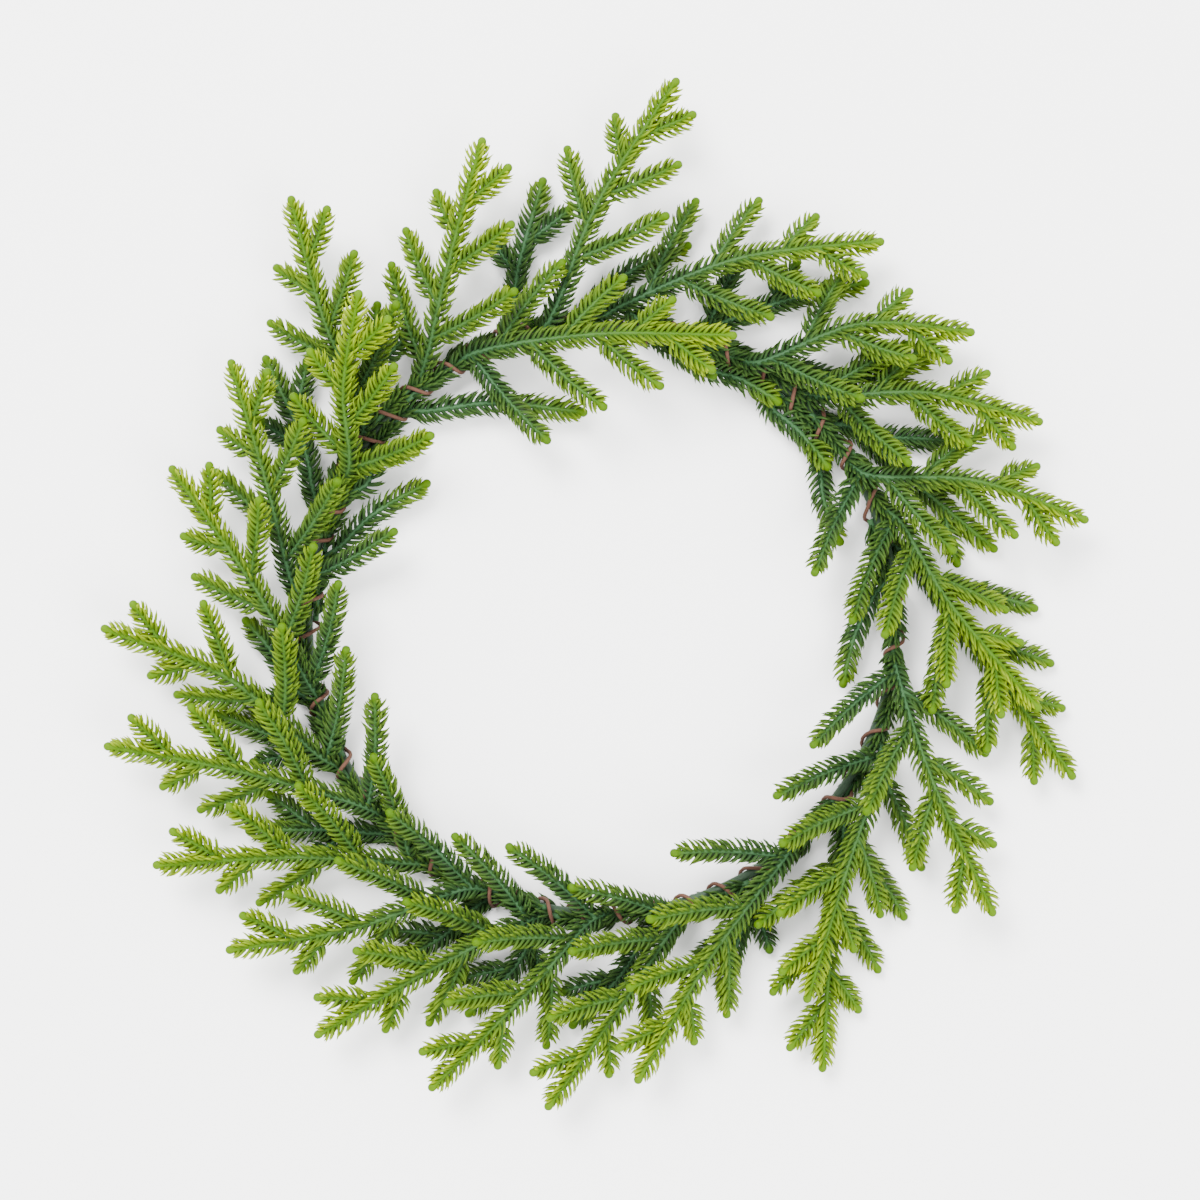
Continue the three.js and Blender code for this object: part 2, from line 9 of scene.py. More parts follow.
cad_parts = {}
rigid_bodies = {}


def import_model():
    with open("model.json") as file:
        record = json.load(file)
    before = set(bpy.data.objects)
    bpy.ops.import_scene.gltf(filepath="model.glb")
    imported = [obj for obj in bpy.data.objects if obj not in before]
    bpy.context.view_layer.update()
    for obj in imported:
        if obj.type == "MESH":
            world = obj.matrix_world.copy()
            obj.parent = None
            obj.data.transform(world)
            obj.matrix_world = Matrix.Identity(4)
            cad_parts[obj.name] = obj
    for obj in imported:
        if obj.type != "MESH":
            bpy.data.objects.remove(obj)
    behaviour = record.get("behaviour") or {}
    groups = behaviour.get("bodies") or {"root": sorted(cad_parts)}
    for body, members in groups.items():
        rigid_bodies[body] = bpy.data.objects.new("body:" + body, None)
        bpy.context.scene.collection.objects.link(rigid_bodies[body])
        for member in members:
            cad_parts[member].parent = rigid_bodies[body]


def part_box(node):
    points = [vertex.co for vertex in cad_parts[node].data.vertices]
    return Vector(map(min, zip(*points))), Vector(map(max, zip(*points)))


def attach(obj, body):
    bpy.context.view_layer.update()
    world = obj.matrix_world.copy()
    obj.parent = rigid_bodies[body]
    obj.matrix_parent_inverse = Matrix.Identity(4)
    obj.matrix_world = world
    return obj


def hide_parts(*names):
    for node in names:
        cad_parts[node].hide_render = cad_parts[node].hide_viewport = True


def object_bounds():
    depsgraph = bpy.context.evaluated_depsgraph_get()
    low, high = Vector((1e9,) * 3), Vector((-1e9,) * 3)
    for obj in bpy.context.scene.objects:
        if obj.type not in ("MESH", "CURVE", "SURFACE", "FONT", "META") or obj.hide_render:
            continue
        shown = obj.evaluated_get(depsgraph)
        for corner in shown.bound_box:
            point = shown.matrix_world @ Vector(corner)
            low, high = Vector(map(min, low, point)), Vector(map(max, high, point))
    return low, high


# The looks of an evergreen wreath that lies flat: the foliage of every spray, the paper-covered
# binding wire and the lacquered hoop, each over its own node of the frame. The sprays follow the
# same paths as in the solid model, worked out again from the hoop's place in the frame.
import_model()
CAD_LOW, CAD_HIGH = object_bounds()

# Lengths are in metres, but the tables of seats, side shoots and sprays are in millimetres.
MM = 0.001
FULL_TURN = 2 * math.pi

# The ring: the hoop's place and radius come from the frame, its wire is as in the solid model.
HOOP_LOW, HOOP_HIGH = (np.array(corner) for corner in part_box("wire_hoop"))
CENTRE = (HOOP_LOW + HOOP_HIGH) / 2
HOOP_WIRE = 6.0 * MM
RING_RADIUS = (HOOP_HIGH[0] - HOOP_LOW[0] - HOOP_WIRE) / 2
HOOP_HEIGHT = CENTRE[2]
HOOP_POINTS = 240
HOOP_SIDES = 12
HOOP_FIT = 0.94

# The binding: one coil round the hoop, as in the solid model. Stems that come out close together
# share one gap between its turns.
BINDING_REACH = 10.0 * MM
BINDING_DEPTH = 1.9 * MM
BINDING_PITCH = 23.0 * MM
BINDING_ENDS_GAP = 14.0 * MM
SAME_WAY_OUT = 9.0 * MM

# The round wire lies close over the hoop and the stems bound there: it looks for stems over a short
# stretch of the ring, its reach is smoothed over a few points, and its lowest part meets the floor.
BINDING_WIRE = 2.4 * MM
BINDING_SIDES = 8
BINDING_STEP = FULL_TURN / 24
BINDING_LOOSE = 0.3 * MM
BINDING_WINDOW = 5.0 * MM
BINDING_SMOOTHING = 5
BINDING_FLAT = 0.94
BUNDLE_REACH = 9.0 * MM

# The stems, as in the solid model: a root bound beside the hoop, a way out through the binding, and
# a curve on to the tip. Side shoots bend by a few degrees and stand clear of the way out.
ROOT_LENGTH = 38.0 * MM
ROOT_SEAT = 4.95 * MM
ROOT_POINTS = (1, 0.66, 0.33, 0)
EXIT_LENGTH = 17.0 * MM
EXIT_RUN = 11.0 * MM
EXIT_REACH = 14.0 * MM
PATH_STEP = 4.0 * MM
CURVE_DIVISIONS = 200
SIDE_BEND = 7.0
SIDE_ROOM = 5.0 * MM
SIDE_LIMIT = EXIT_LENGTH * 0.7

# Settling, as in the solid model: the height between crossing shoots, what they keep clear of, and
# how fast and how far along a shoot they move.
CROSSING = 8.0 * MM
FLOOR_CLEAR = 6.2 * MM
RING_CLEAR = 13.0 * MM
SETTLE_ROUNDS = 60
SETTLE_STEP = 0.5
SETTLE_BESIDE = 0.2
RESEAT_POINTS = 5

# Where a stem is bound and where it leaves (degrees round the hoop, 0 outwards, 90 on top), heights
# of its middle and its tip, its roll in degrees, and how much lighter or darker the foliage is. The
# low-lying sprays under the others are darker partly by their own colour and partly by painted
# shade, and the highest ones are a little lighter by painted light.
SEATS = {
    "upper": dict(around=38, leaves=42, middle=29, tip=33, roll=24, tone=0.0),
    "crown": dict(around=98, leaves=80, middle=32, tip=35, roll=24, tone=0.0),
    "crest": dict(around=98, leaves=90, middle=44, tip=52, roll=12, tone=0.1),
    "lower": dict(around=-42, leaves=-22, middle=9, tip=8, roll=8, tone=-0.42),
    "deep": dict(around=-92, leaves=-26, middle=9, tip=8, roll=8, tone=-0.42),
    "under": dict(around=-42, leaves=-20, middle=12, tip=15, roll=16, tone=-0.06),
    "inner": dict(around=165, leaves=165, middle=13, tip=14, roll=6, tone=-0.36),
}

# The side shoots, from the tip backwards: how far behind the tip, length, angle to the stem, and how
# much of the stem's climb they keep.
RIGHT = dict(
    behind=(42, 84, 126, 164),
    length=(38, 54, 67, 75),
    angle=(38, 42, 47, 60),
    lift=(1, 1, 1, 0.5),
    sign=1,
)
LEFT = dict(
    behind=(62, 105, 147),
    length=(34, 54, 68),
    angle=(42, 40, 42),
    lift=(1, 1, 1),
    sign=-1,
)
RING_SHOOT = 3

# The sprays in plan, in millimetres from the ring's centre: name, seat, where the stem leaves the
# ring, its middle and its tip, the number of side shoots on the right and on the left, and for a
# few the degrees by which the right shoot nearest the ring is turned away from the stem.
SPRAYS = [
    ("low_spray_top_left", "lower", (-63, 171), (-51, 211), (-35, 269), 1, 1),
    ("low_sprig_top", "lower", (-16, 177), (16, 210), (55, 228), 0, 0),
    ("low_spray_top_right", "lower", (53, 169), (107, 192), (163, 205), 0, 2),
    ("low_spray_right_1", "lower", (101, 153), (156, 145), (206, 163), 1, 1),
    ("low_spray_right_2", "lower", (137, 120), (188, 84), (240, 41), 1, 2),
    ("low_spray_right_3", "under", (169, 45), (230, -21), (286, -97), 3, 3),
    ("low_spray_bottom_right", "under", (146, -108), (139, -186), (133, -274), 3, 3),
    ("low_spray_bottom_1", "lower", (98, -153), (82, -195), (72, -230), 1, 1),
    ("low_spray_bottom_2", "lower", (38, -179), (11, -215), (-20, -248), 1, 0),
    ("low_spray_bottom_3", "lower", (-25, -175), (-52, -209), (-83, -241), 1, 1),
    ("low_spray_bottom_4", "deep", (-61, -165), (-97, -192), (-134, -210), 1, 1),
    ("low_spray_left_1", "lower", (-121, -126), (-169, -127), (-217, -128), 1, 1),
    ("low_spray_left_2", "lower", (-154, -87), (-193, -73), (-239, -55), 1, 1),
    ("low_spray_left_3", "lower", (-168, -49), (-200, -19), (-218, 2), 0, 1),
    ("low_spray_left_4", "lower", (-163, 60), (-181, 108), (-205, 161), 1, 1),
    ("low_spray_left_5", "lower", (-142, 108), (-139, 153), (-136, 194), 1, 1),
    ("inner_sprig_top", "inner", (-125, 132), (-67, 131), (-8, 125), 0, 0),
    ("inner_sprig_left_1", "inner", (-160, 78), (-135, 97), (-107, 106), 0, 0),
    ("inner_sprig_left_2", "inner", (-174, 37), (-138, 64), (-103, 84), 0, 0),
    ("inner_sprig_right_1", "inner", (54, 170), (84, 145), (109, 130), 0, 0),
    ("inner_sprig_right_2", "inner", (98, 142), (118, 115), (138, 90), 0, 0),
    ("inner_sprig_right_3", "inner", (128, 108), (134, 72), (145, 44), 0, 0),
    ("inner_sprig_right_4", "inner", (164, 24), (152, -11), (145, -42), 0, 0),
    ("spray_top_1", "upper", (-110, 142), (-93, 209), (-71, 290), 3, 3),
    ("spray_top_2", "crown", (-45, 179), (-3, 248), (46, 325), 3, 2),
    ("spray_top_3", "upper", (-1, 181), (80, 216), (170, 227), 4, 3),
    ("spray_top_4", "crown", (86, 165), (155, 177), (224, 172), 3, 2),
    ("spray_right_1", "upper", (128, 147), (194, 136), (265, 118), 3, 3),
    ("spray_right_2", "crown", (160, 102), (224, 83), (292, 59), 4, 2),
    ("spray_right_3", "upper", (170, 69), (206, 13), (263, -55), 4, 2),
    ("spray_right_4", "crown", (172, -21), (197, -95), (235, -178), 4, 3, -8),
    ("spray_right_5", "upper", (166, -71), (148, -145), (122, -230), 4, 3),
    ("spray_bottom_1", "crown", (119, -138), (64, -203), (20, -278), 4, 2, -11),
    ("spray_bottom_2", "upper", (53, -171), (14, -227), (-34, -294), 4, 2),
    ("spray_bottom_3", "crown", (5, -179), (-45, -223), (-104, -282), 4, 2),
    ("spray_bottom_4", "upper", (-34, -175), (-106, -211), (-173, -250), 4, 2),
    ("spray_bottom_5", "crown", (-69, -162), (-148, -184), (-226, -198), 4, 2, -18),
    ("spray_bottom_6", "upper", (-102, -143), (-187, -142), (-270, -147), 4, 2),
    ("spray_left_1", "crown", (-128, -117), (-214, -91), (-299, -75), 4, 2),
    ("spray_left_2", "upper", (-153, -87), (-224, -35), (-301, -4), 4, 2),
    ("spray_left_3", "crown", (-164, -46), (-208, 20), (-259, 93), 4, 2, -24),
    ("spray_left_4", "upper", (-170, 11), (-200, 79), (-223, 157), 4, 2, 17),
    ("spray_left_5", "upper", (-151, 114), (-166, 179), (-187, 255), 3, 2),
    ("top_spray_left", "crest", (-160, 85), (-154, 138), (-144, 197), 3, 2),
    ("top_spray_top", "crest", (-91, 161), (-7, 170), (81, 169), 4, 3),
]

# The stem or shoot itself, thinner towards its tip, and the bud that ends it. The inset and the
# skin keep all of it inside the solid model's box.
STEM_RADIUS = 1.9 * MM
SHOOT_RADIUS = 1.6 * MM
CORE_TAPER = 0.15
CORE_SIDES = 8
CORE_STEP = 2.5 * MM
BUD_RADIUS = 2.8 * MM
BUD_LENGTH = 8.0 * MM
BUD_RINGS = np.array([1, 0.8, 0.62, 0.48, 0.36, 0.24, 0.14, 0.07, 0.025, 0.004])
TIP_INSET = 0.6 * MM
BOX_SKIN = 0.02 * MM

# Needles stand in rows along a shoot: degrees round it from its right side, each row's start as a
# share of the pitch, and how long its needles are. On the bound root they stand round its outside.
NEEDLE_ROWS = (
    (0, 0.0, 1.0),
    (180, 0.5, 1.0),
    (34, 0.04, 0.9),
    (146, 0.54, 0.9),
    (-34, 0.04, 0.92),
    (-146, 0.54, 0.92),
)
ROOT_ROWS = (
    (-110, 0.1, 1.0),
    (-80, 0.5, 1.0),
    (-48, 0.9, 1.0),
    (-16, 0.3, 1.0),
    (16, 0.7, 1.0),
    (48, 0.0, 1.0),
    (80, 0.4, 1.0),
    (110, 0.8, 1.0),
)
NEEDLE_PITCH = 3.7 * MM
NEEDLE_LENGTH = 10.9 * MM
ROOT_NEEDLE_LENGTH = 9.5 * MM

# A needle leaves its shoot at the first angle and ends at the second (degrees). Its rings stand at
# shares of its length, with the radius times the thickness there, and it is a little flat.
NEEDLE_START = 63.0
NEEDLE_END = 25.0
NEEDLE_RADIUS = 1.24 * MM
NEEDLE_SHARES = np.array([0.0, 0.2, 0.45, 0.72, 1.0])
NEEDLE_THICKNESS = np.array([1.2, 1.0, 0.9, 0.64, 0.0])
NEEDLE_FLATNESS = 0.85
NEEDLE_SIDES = 4
NEEDLE_SEAT = 0.75

# Chance: how far needles stray along the shoot, round it, in length and in their two angles.
SEED = 11
STRAY_ALONG = 0.45 * MM
STRAY_ROUND = 0.13
STRAY_LENGTH = (0.86, 1.08)
STRAY_START = 5.5
STRAY_END = 9.0

# Towards the tip the needles are shorter and lie closer to the shoot, and none passes the bud.
TIP_TAPER = 16.0 * MM
TIP_LENGTH = 0.62
TIP_CLOSING = 20.0
TIP_ROOM = 3.6 * MM
TIP_REACH = 0.74
LAST_NEEDLE = 6.0 * MM

# Room that needles keep from the hoop's middle, the wire's middle and the floor.
HOOP_ROOM = 3.7 * MM
WIRE_ROOM = 2.0 * MM
NEAR_RING = 16.0 * MM
FLOOR_ROOM = 1.0 * MM

# Tone, from dark old wood (0) to bright new tips (1): the share and the power with which it grows
# along a stem, with the place where a side shoot stands, and along that shoot. A shoot is lighter
# than its stem, but darker along the ring, and each spray is a little warmer or cooler. Each seat's
# shift comes on top: partly painted shade on the low-lying sprays and painted light on the highest.
STEM_GROWTH = (0.96, 1.4)
FOOT_GROWTH = (0.64, 1.25)
SHOOT_GROWTH = (0.40, 1.5)
SHOOT_TONE = 0.06
RING_SHOOT_TONE = -0.06
SPRAY_WARMTH = (-0.14, 0.1)


def beside_hoop(ring_angle, reach, around):
    """A point beside the hoop, in the frame."""
    radius = RING_RADIUS + reach * math.cos(around)
    return np.array([
        CENTRE[0] + radius * math.cos(ring_angle),
        CENTRE[1] + radius * math.sin(ring_angle),
        HOOP_HEIGHT + reach * math.sin(around),
    ])


# ---- Curves and paths ----


def catmull_point(points, t):
    """A point of the centripetal curve through the points."""
    last = len(points) - 1
    place = last * t
    index = min(int(math.floor(place)), last - 1)
    weight = place - index
    p1, p2 = points[index], points[index + 1]
    p0 = points[index - 1] if index > 0 else 2 * p1 - p2
    p3 = points[index + 2] if index + 2 <= last else 2 * p2 - p1
    d0, d1, d2 = (float(np.dot(b - a, b - a)) ** 0.25 for a, b in ((p0, p1), (p1, p2), (p2, p3)))
    t1 = ((p1 - p0) / d0 - (p2 - p0) / (d0 + d1) + (p2 - p1) / d1) * d1
    t2 = ((p2 - p1) / d1 - (p3 - p1) / (d1 + d2) + (p3 - p2) / d2) * d1
    c2 = -3 * p1 + 3 * p2 - 2 * t1 - t2
    c3 = 2 * p1 - 2 * p2 + t1 + t2
    return p1 + t1 * weight + c2 * weight ** 2 + c3 * weight ** 3


def bezier_point(points, t):
    """A point of the quadratic curve from the first point to the last."""
    a, b, c = points
    return (1 - t) ** 2 * a + 2 * t * (1 - t) * b + t ** 2 * c


def even_points(curve, points):
    """Points along a curve, PATH_STEP apart."""
    shares = np.linspace(0, 1, CURVE_DIVISIONS + 1)
    dense = np.array([curve(points, t) for t in shares])
    lengths = np.concatenate([[0], np.cumsum(np.linalg.norm(np.diff(dense, axis=0), axis=1))])
    steps = max(3, round(lengths[-1] / PATH_STEP))
    wanted = np.interp(np.linspace(0, lengths[-1], steps + 1), lengths, shares)
    return np.array([curve(points, t) for t in wanted])


def path_length(points):
    """The length of the straight pieces between points."""
    return float(np.linalg.norm(np.diff(points, axis=0), axis=1).sum())


def unit(vector):
    """The vector, made one long."""
    return vector / np.linalg.norm(vector)


def frame_at(shoot, distance):
    """The place, the direction, the right and the up of a shoot at a distance along it."""
    points = shoot["points"]
    last = len(points) - 1
    i = 0
    left = distance
    step = np.linalg.norm(points[1] - points[0])
    while left > step and i < last - 1:
        left -= step
        i += 1
        step = np.linalg.norm(points[i + 1] - points[i])
    share = left / step
    place = points[i] + (points[i + 1] - points[i]) * share
    before = points[max(0, i - 1 if share < 0.5 else i)]
    after = points[min(last, i + 1 if share < 0.5 else i + 2)]
    along = unit(after - before)
    flat_right = unit(np.cross(along, (0, 0, 1)))
    flat_up = np.cross(flat_right, along)
    right = flat_right * math.cos(shoot["roll"]) + flat_up * math.sin(shoot["roll"])
    return place, along, right, np.cross(right, along)


def make_stem(name, seat_name, exit_plan, middle, tip):
    """A main stem: its root follows the hoop, then it runs through its middle to its tip."""
    seat = SEATS[seat_name]
    around = math.radians(seat["around"])
    exit_angle = math.atan2(exit_plan[1], exit_plan[0])
    root_turn = ROOT_LENGTH / RING_RADIUS
    root = [beside_hoop(exit_angle + root_turn * k, ROOT_SEAT, around) for k in ROOT_POINTS]
    leaves = math.radians(seat["leaves"])
    exit_point = beside_hoop(exit_angle - EXIT_RUN / RING_RADIUS, EXIT_REACH, leaves)
    plan = [
        np.array([CENTRE[0] + x * MM, CENTRE[1] + y * MM, height * MM])
        for (x, y), height in ((middle, seat["middle"]), (tip, seat["tip"]))
    ]
    points = even_points(catmull_point, [*root, exit_point, *plan])
    return dict(
        spray=name,
        points=points,
        length=path_length(points),
        roll=math.radians(seat["roll"]),
        bare=ROOT_LENGTH + EXIT_LENGTH,
        parent=None,
        sides=[],
        tone=seat["tone"],
    )


def make_side(stem, side, index, turn=0):
    """A side shoot: it leaves the stem at its angle and bends a little towards the stem's tip."""
    free = stem["length"] - ROOT_LENGTH - SIDE_LIMIT
    at = stem["length"] - min(side["behind"][index] * MM, free)
    place, along, right, _ = frame_at(stem, at)
    length = side["length"][index] * MM
    angle = side["angle"][index] + turn

    def heading(degrees):
        aside = math.radians(degrees)
        way = along * math.cos(aside) + right * side["sign"] * math.sin(aside)
        return unit(way * (1, 1, side["lift"][index]))

    bend = place + heading(angle + SIDE_BEND) * length / 2
    tip = bend + heading(angle - SIDE_BEND) * length / 2
    points = even_points(bezier_point, [place, bend, tip])
    return dict(
        spray=stem["spray"],
        points=points,
        length=path_length(points),
        roll=stem["roll"],
        bare=SIDE_ROOM,
        parent=stem,
        at=at,
        tone=stem["tone"],
        side_tone=RING_SHOOT_TONE if index == RING_SHOOT else SHOOT_TONE,
    )


# ---- Settling ----


def ring_lift(points):
    """How far points must rise to clear the bound ring."""
    aside = np.hypot(points[:, 0] - CENTRE[0], points[:, 1] - CENTRE[1]) - RING_RADIUS
    room = np.sqrt(np.maximum(RING_CLEAR ** 2 - aside ** 2, 0))
    lift = np.maximum(0, HOOP_HEIGHT + room - points[:, 2])
    return np.where(np.abs(aside) < RING_CLEAR, lift, 0)


def reseat(shoot):
    """Keeps a side shoot's foot on its stem."""
    shift = frame_at(shoot["parent"], shoot["at"])[0] - shoot["points"][0]
    reach = min(RESEAT_POINTS, len(shoot["points"]) - 1)
    for i in range(reach):
        shoot["points"][i] += shift * (1 - i / reach)


def settle(shoots):
    """Raises and lowers crossing shoots of different sprays until they lie CROSSING apart."""
    counts = [len(shoot["points"]) for shoot in shoots]
    starts = np.concatenate([[0], np.cumsum(counts)])
    points = np.concatenate([shoot["points"] for shoot in shoots])
    names = {shoot["spray"]: k for k, shoot in enumerate(shoots)}
    spray = np.concatenate([np.full(n, names[s["spray"]]) for n, s in zip(counts, shoots)])
    free = np.concatenate([
        np.arange(n) * s["length"] / (n - 1) > s["bare"] for n, s in zip(counts, shoots)
    ])
    aside = np.hypot(*(points[:, None, :2] - points[None, :, :2]).transpose(2, 0, 1))
    near = (aside < CROSSING) & (spray[:, None] != spray[None, :]) & (free[:, None] | free[None, :])
    first, second = np.nonzero(np.triu(near, 1))
    apart = np.sqrt(CROSSING ** 2 - aside[first, second] ** 2)
    above = points[first, 2] >= points[second, 2]
    upper = np.where(above, first, second)
    lower = np.where(above, second, first)
    both = free[upper] & free[lower]
    for start, end, shoot in zip(starts, starts[1:], shoots):
        shoot["points"] = points[start:end]
    for _ in range(SETTLE_ROUNDS):
        short = np.maximum(apart - (points[upper, 2] - points[lower, 2]), 0)
        share = np.where(both, short / 2, short)
        rise = np.zeros(len(points))
        fall = np.zeros(len(points))
        np.maximum.at(rise, upper, share)
        np.maximum.at(fall, lower, share)
        push = rise - fall
        for start, end in zip(starts, starts[1:]):
            own = push[start:end]
            padded = np.concatenate([own[:1], own, own[-1:]])
            moved = SETTLE_STEP * own + SETTLE_BESIDE * (padded[:-2] + padded[2:])
            points[start:end, 2] += np.where(free[start:end], moved, 0)
        points[:, 2] += np.where(free, SETTLE_STEP * ring_lift(points), 0)
        points[:, 2] = np.where(free, np.maximum(points[:, 2], FLOOR_CLEAR), points[:, 2])
        for shoot in shoots:
            if shoot["parent"]:
                reseat(shoot)


def grow_stems():
    """All stems with their side shoots, settled over each other."""
    stems = []
    for name, seat, exit_plan, middle, tip, right, left, *turn in SPRAYS:
        stem = make_stem(name, seat, exit_plan, middle, tip)
        turns = [0] * (right - 1) + (turn or [0])
        stem["sides"] += [make_side(stem, RIGHT, k, turns[k]) for k in range(right)]
        stem["sides"] += [make_side(stem, LEFT, k) for k in range(left)]
        stems.append(stem)
    shoots = [shoot for stem in stems for shoot in [stem, *stem["sides"]]]
    settle(shoots)
    for shoot in shoots:
        shoot["length"] = path_length(shoot["points"])
        shoot["end"] = shoot["length"] - TIP_INSET
    return stems


# ---- Foliage meshes ----


class MeshBuilder:
    """Collects vertices, faces and per-vertex values of one piece."""

    def __init__(self):
        self.vertices = []
        self.faces = []
        self.values = []
        self.count = 0

    def add(self, vertices, faces, values):
        """values holds, for each vertex: tone (with painted shade on the low-lying sprays and
        painted light on the highest), place along the needle or share of the bud, chance, and 1 on
        the stem or 0 on a needle."""
        self.vertices.append(vertices)
        self.values.append(values)
        self.faces += [tuple(index + self.count for index in face) for face in faces]
        self.count += len(vertices)

    def make(self, name, material):
        """The piece as one mesh object, inside the solid model's box."""
        vertices = np.concatenate(self.vertices)
        inside = np.clip(vertices, np.array(CAD_LOW) + BOX_SKIN, np.array(CAD_HIGH) - BOX_SKIN)
        piece = link_mesh(name, inside, self.faces, material)
        values = np.concatenate(self.values).astype(np.float32)
        colour = piece.data.color_attributes.new("growth", "FLOAT_COLOR", "POINT")
        colour.data.foreach_set("color", values.ravel())
        return piece


def link_mesh(name, vertices, faces, material):
    """A smooth mesh object in the scene."""
    mesh = bpy.data.meshes.new(name)
    mesh.from_pydata(vertices.tolist(), [], faces)
    mesh.polygons.foreach_set("use_smooth", [True] * len(mesh.polygons))
    mesh.materials.append(material)
    mesh.update()
    piece = bpy.data.objects.new(name, mesh)
    bpy.context.scene.collection.objects.link(piece)
    return piece


def tube_faces(rings, sides):
    """The faces between rings of vertices."""
    faces = []
    for i in range(rings - 1):
        for k in range(sides):
            n = (k + 1) % sides
            a = i * sides
            faces.append((a + k, a + n, a + sides + n, a + sides + k))
    return faces


def grown(growth, reached):
    """The tone that growth gives at a share of the way."""
    share, power = growth
    return share * np.maximum(reached, 0) ** power


def past_root(stem, distance):
    """The share of the way from the bound root to the stem's tip."""
    return (distance - ROOT_LENGTH) / (stem["length"] - ROOT_LENGTH)


def tone_at(shoot, distance):
    """How light a place is, from the dark old wood (0) to the bright new tips (1): how far it has
    grown, plus its seat's shift, which is partly painted shade on the low-lying sprays and painted
    light on the highest.
    """
    if shoot["parent"]:
        foot = past_root(shoot["parent"], shoot["at"])
        along = distance / shoot["length"]
        tone = grown(FOOT_GROWTH, foot) + grown(SHOOT_GROWTH, along) + shoot["side_tone"]
    else:
        tone = grown(STEM_GROWTH, past_root(shoot, distance))
    return np.clip(tone + shoot["tone"], 0, 1)


def core_radius(shoot, distances):
    """The stem's radius, swelling into the round bud at the tip."""
    thickest = SHOOT_RADIUS if shoot["parent"] else STEM_RADIUS
    plain = thickest * (1 - CORE_TAPER * distances / shoot["end"])
    from_tip = shoot["end"] - distances
    blend = np.clip((BUD_LENGTH - from_tip) / (BUD_LENGTH - BUD_RADIUS), 0, 1)
    neck = plain + (BUD_RADIUS - plain) * blend * blend * (3 - 2 * blend)
    ball = BUD_RADIUS * np.sqrt(np.maximum(0, 1 - ((BUD_RADIUS - from_tip) / BUD_RADIUS) ** 2))
    return np.where(from_tip < BUD_RADIUS, ball, neck)


def unit_rows(vectors):
    """The vectors, each made one long."""
    return vectors / np.linalg.norm(vectors, axis=-1, keepdims=True)


def frames_along(shoot, distances):
    """Places, directions, rights and ups at many distances along a shoot."""
    points = shoot["points"]
    reached = np.concatenate([[0], np.cumsum(np.linalg.norm(np.diff(points, axis=0), axis=1))])
    tangents = unit_rows(np.gradient(points, axis=0))

    def between(rows):
        return np.stack([np.interp(distances, reached, rows[:, k]) for k in range(3)], axis=-1)

    along = unit_rows(between(tangents))
    flat_right = unit_rows(np.cross(along, (0, 0, 1)))
    flat_up = np.cross(flat_right, along)
    right = flat_right * math.cos(shoot["roll"]) + flat_up * math.sin(shoot["roll"])
    return between(points), along, right, np.cross(right, along)


def from_hoop(points):
    """The way from the hoop's middle line to points, not scaled."""
    off = points - CENTRE
    radius = np.hypot(off[..., 0], off[..., 1])[..., None]
    outward = off * (1, 1, 0) / radius
    return off - outward * RING_RADIUS


def add_core(builder, shoot):
    """The stem or shoot itself, with its bud."""
    plain = shoot["end"] - BUD_LENGTH - CORE_STEP / 2
    distances = np.concatenate([
        np.linspace(0, plain, max(3, int(plain / CORE_STEP))),
        shoot["end"] - BUD_LENGTH * BUD_RINGS,
    ])
    places, _, right, up = frames_along(shoot, distances)
    radii = core_radius(shoot, distances)
    angles = np.arange(CORE_SIDES) * FULL_TURN / CORE_SIDES
    aside = np.cos(angles)[None, :, None] * right[:, None]
    above = np.sin(angles)[None, :, None] * up[:, None]
    vertices = places[:, None] + radii[:, None, None] * (aside + above)
    count = len(distances)
    values = np.zeros((count, CORE_SIDES, 4))
    values[..., 0] = tone_at(shoot, distances)[:, None]
    values[..., 1] = np.clip((distances - plain) / (BUD_LENGTH - BUD_RADIUS), 0, 1)[:, None]
    values[..., 2] = 0.5
    values[..., 3] = 1.0
    faces = [face[::-1] for face in tube_faces(count, CORE_SIDES)]
    faces.append(tuple(range(CORE_SIDES)))
    faces.append(tuple((count - 1) * CORE_SIDES + k for k in range(CORE_SIDES))[::-1])
    builder.add(vertices.reshape(-1, 3), faces, values.reshape(-1, 4))


def needle_feet(shoot, rows, start, end, draw):
    """Distances along a shoot, angles round it and sizes for rows of needles."""
    distances = []
    angles = []
    sizes = []
    for angle, share, size in rows:
        row = np.arange(start + share * NEEDLE_PITCH, end, NEEDLE_PITCH)
        distances.append(row + draw.uniform(-STRAY_ALONG, STRAY_ALONG, len(row)))
        angles.append(math.radians(angle) + draw.normal(0, STRAY_ROUND, len(row)))
        sizes.append(np.full(len(row), size))
    return np.concatenate(distances), np.concatenate(angles), np.concatenate(sizes)


def clear_of_wire(points, wire):
    """Which needles keep away from the hoop and from the wire bound round it."""
    ring = np.linalg.norm(from_hoop(points), axis=-1)
    clear = (ring > HOOP_ROOM).all(axis=1)
    for n in np.nonzero((ring < NEAR_RING).any(axis=1))[0]:
        clear[n] &= all(wire.find(point)[2] > WIRE_ROOM for point in points[n])
    return clear


